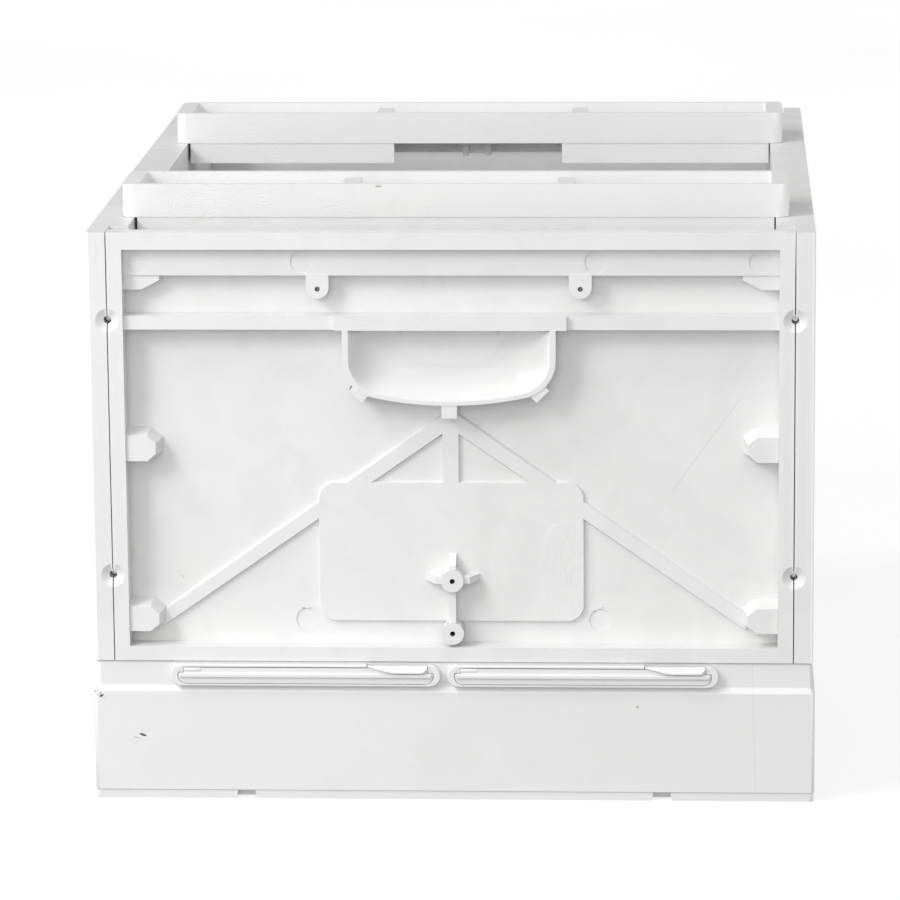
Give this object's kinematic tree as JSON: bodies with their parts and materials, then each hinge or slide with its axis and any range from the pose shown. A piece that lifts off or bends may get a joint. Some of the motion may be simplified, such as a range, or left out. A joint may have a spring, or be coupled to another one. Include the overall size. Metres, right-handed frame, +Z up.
{
  "type": "beehive",
  "caption": "Plastic hive body of screwed framed walls on a ventilated base with flap entrances, a slide-out tray and lift-off trough bars.",
  "frame": {"origin": "centre of the footprint, on the surface that the hive stands on", "axes": "+Z up, front with the entrances faces -Y, +X to the right seen from the front"},
  "size_m": [0.4174, 0.5218, 0.3528],
  "materials": {
    "white_plastic": "satin moulded",
    "bar_plastic": "satin moulded",
    "base_plastic": "satin moulded",
    "gate_plastic": "satin moulded",
    "screen_plastic": "satin moulded",
    "steel": "zinc plated"
  },
  "bodies": {
    "base": {"base_shell": "base_plastic", "foot_frame": "base_plastic", "foot_frame_screws": "steel", "floor_screen": "screen_plastic", "left_entrance_bezel": "base_plastic", "right_entrance_bezel": "base_plastic", "left_gate_pins": "steel", "right_gate_pins": "steel"},
    "left_gate": {"left_entrance_gate": "gate_plastic"},
    "right_gate": {"right_entrance_gate": "gate_plastic"},
    "tray": {"monitoring_tray": "base_plastic"},
    "brood_box": {"front_wall": "white_plastic", "rear_wall": "white_plastic", "left_wall": "white_plastic", "right_wall": "white_plastic", "left_wall_screws": "steel", "right_wall_screws": "steel", "front_corner_pins": "steel", "rear_corner_pins": "steel"},
    "front_bar": {"front_trough_bar": "bar_plastic"},
    "rear_bar": {"rear_trough_bar": "bar_plastic"}
  },
  "joints": [
    {"name": "left_gate_hinge", "type": "hinge", "parent": "base", "child": "left_gate", "pos_m": [-0.0852, -0.2576, 0.0778], "axis": [-1, 0, 0], "range_deg": [0, 85]},
    {"name": "right_gate_hinge", "type": "hinge", "parent": "base", "child": "right_gate", "pos_m": [0.0751, -0.2576, 0.0778], "axis": [-1, 0, 0], "range_deg": [0, 85]},
    {"name": "tray_slide", "type": "slide", "parent": "base", "child": "tray", "axis": [0, 1, 0], "range_m": [0, 0.5]},
    {"name": "box_lift", "type": "slide", "parent": "base", "child": "brood_box", "axis": [0, 0, 1], "range_m": [0, 0.15]},
    {"name": "front_bar_lift", "type": "slide", "parent": "brood_box", "child": "front_bar", "axis": [0, 0, 1], "range_m": [0, 0.06]},
    {"name": "rear_bar_lift", "type": "slide", "parent": "brood_box", "child": "rear_bar", "axis": [0, 0, 1], "range_m": [0, 0.06]}
  ]
}
